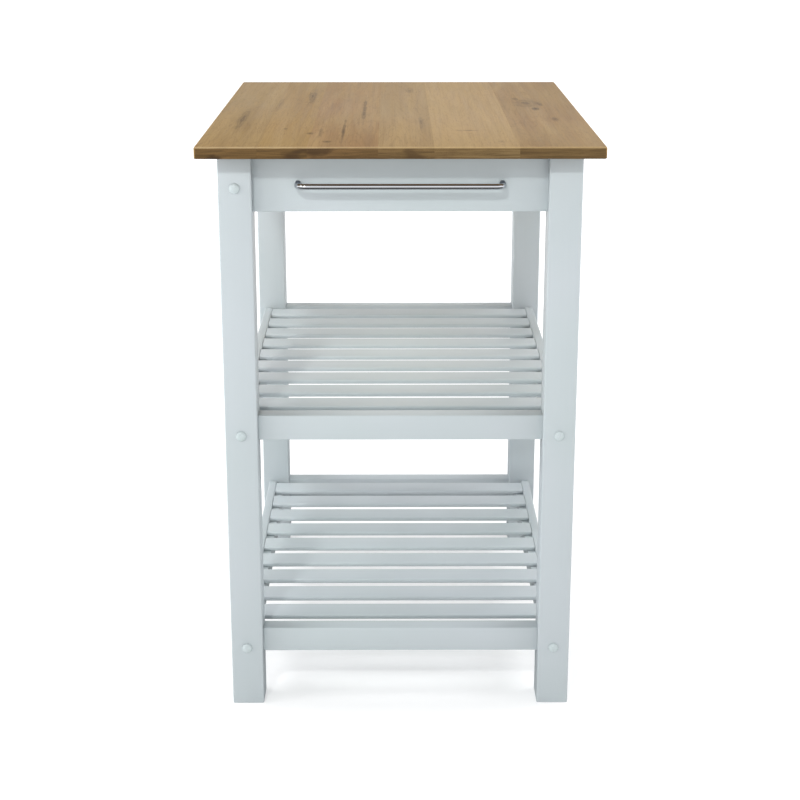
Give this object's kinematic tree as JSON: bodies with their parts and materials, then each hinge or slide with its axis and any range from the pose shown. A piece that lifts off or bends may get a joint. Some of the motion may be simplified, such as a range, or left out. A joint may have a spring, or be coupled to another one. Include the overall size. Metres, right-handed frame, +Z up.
{
  "type": "kitchen island cart",
  "caption": "Kitchen island cart with a wooden butcher-block top on a white square-leg frame, open slatted shelves, a chrome towel bar on the end and a drawer in the long side.",
  "frame": {"origin": "on the floor, under the middle of the top", "axes": "+Z up, +X across the short side towards the drawer, +Y along the long side away from the towel bar"},
  "size_m": [0.6, 0.8, 0.914],
  "materials": {
    "oiled_wood": "clear satin varnish on jointed hardwood staves",
    "white_paint": "satin white paint on solid wood",
    "plain_wood": "bare sanded softwood",
    "panel_board": "thin plywood",
    "chrome": "polished chrome plate",
    "zinc_steel": "zinc-plated steel",
    "cap_plastic": "white moulded plastic"
  },
  "bodies": {
    "frame": {"top_panel": "oiled_wood", "leg_front_left": "white_paint", "leg_front_right": "white_paint", "leg_back_left": "white_paint", "leg_back_right": "white_paint", "apron_front": "white_paint", "apron_back": "white_paint", "apron_left": "white_paint", "drawer_rail": "white_paint", "middle_rail_front": "white_paint", "middle_rail_back": "white_paint", "middle_rail_left": "white_paint", "middle_rail_right": "white_paint", "bottom_rail_front": "white_paint", "bottom_rail_back": "white_paint", "bottom_rail_left": "white_paint", "bottom_rail_right": "white_paint", "middle_slat_1": "white_paint", "middle_slat_2": "white_paint", "middle_slat_3": "white_paint", "middle_slat_4": "white_paint", "middle_slat_5": "white_paint", "middle_slat_6": "white_paint", "middle_slat_7": "white_paint", "middle_slat_8": "white_paint", "middle_slat_9": "white_paint", "bottom_slat_1": "white_paint", "bottom_slat_2": "white_paint", "bottom_slat_3": "white_paint", "bottom_slat_4": "white_paint", "bottom_slat_5": "white_paint", "bottom_slat_6": "white_paint", "bottom_slat_7": "white_paint", "bottom_slat_8": "white_paint", "bottom_slat_9": "white_paint", "towel_bar": "chrome", "towel_bar_screws": "zinc_steel", "frame_bolts": "zinc_steel", "barrel_nuts": "zinc_steel", "bolt_caps": "cap_plastic", "end_frame_dowels": "plain_wood", "side_rail_dowels": "plain_wood", "top_brackets": "zinc_steel", "bracket_screws": "zinc_steel", "runner_front": "plain_wood", "runner_back": "plain_wood", "runner_screws": "zinc_steel"},
    "drawer": {"drawer_front": "white_paint", "drawer_side_front": "plain_wood", "drawer_side_back": "plain_wood", "drawer_back": "plain_wood", "drawer_bottom": "panel_board", "drawer_knobs": "chrome", "knob_screws": "zinc_steel"}
  },
  "joints": [
    {"name": "drawer_slide", "type": "slide", "parent": "frame", "child": "drawer", "axis": [1, 0, 0], "range_m": [0, 0.3]}
  ]
}
